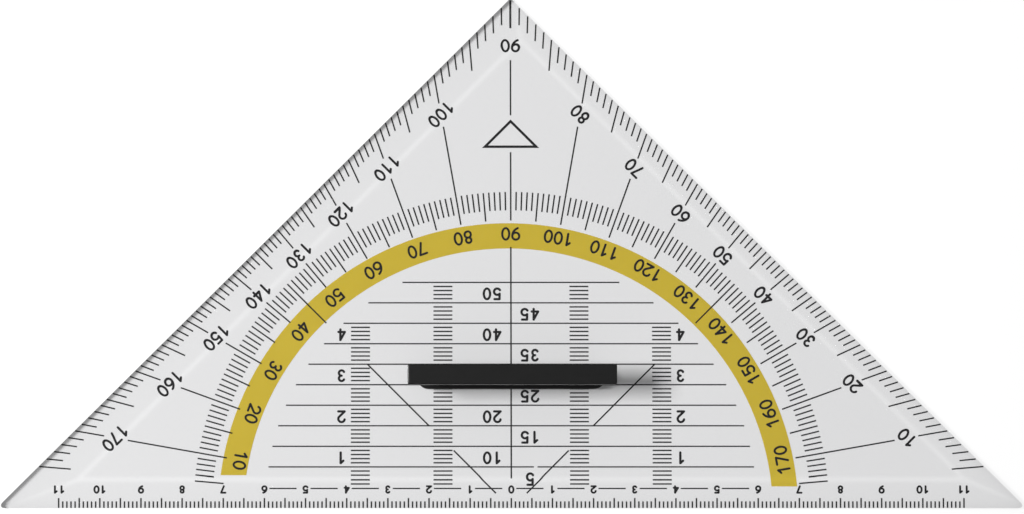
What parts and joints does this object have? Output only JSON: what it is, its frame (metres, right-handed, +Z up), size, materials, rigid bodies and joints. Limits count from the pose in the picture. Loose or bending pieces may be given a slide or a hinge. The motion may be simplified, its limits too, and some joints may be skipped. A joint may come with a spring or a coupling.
{
  "type": "drafting set square",
  "caption": "Clear 45-45-90 drafting set square with printed ruler, parallel lines and 180-degree protractor scales, and a pull-off black grip.",
  "frame": {"origin": "the ruler's zero mark, at the middle of the long ruling edge, in the plane of the paper that the square lies on", "axes": "+X along the ruling edge, +Y from the ruling edge to the right-angled corner, +Z up out of the paper"},
  "size_m": [0.248, 0.1247, 0.0148],
  "materials": {
    "clear_plastic": "clear moulded sheet, polished faces",
    "black_plastic": "fine satin moulding",
    "black_ink": "screen-printed ink",
    "yellow_ink": "screen-printed ink"
  },
  "bodies": {
    "square": {"set_square_plate": "clear_plastic", "yellow_degree_band": "yellow_ink", "ruler_ticks": "black_ink", "ruler_figures": "black_ink", "parallel_lines": "black_ink", "millimetre_columns": "black_ink", "line_figures": "black_ink", "column_figures": "black_ink", "degree_ring_ticks": "black_ink", "degree_rays": "black_ink", "band_figures": "black_ink", "edge_degree_ticks": "black_ink", "edge_figures": "black_ink", "plain_mark": "black_ink"},
    "grip": {"grip_handle": "black_plastic"}
  },
  "joints": [
    {"name": "grip_pull", "type": "slide", "parent": "square", "child": "grip", "axis": [0, 0, 1], "range_m": [0, 0.012]}
  ]
}
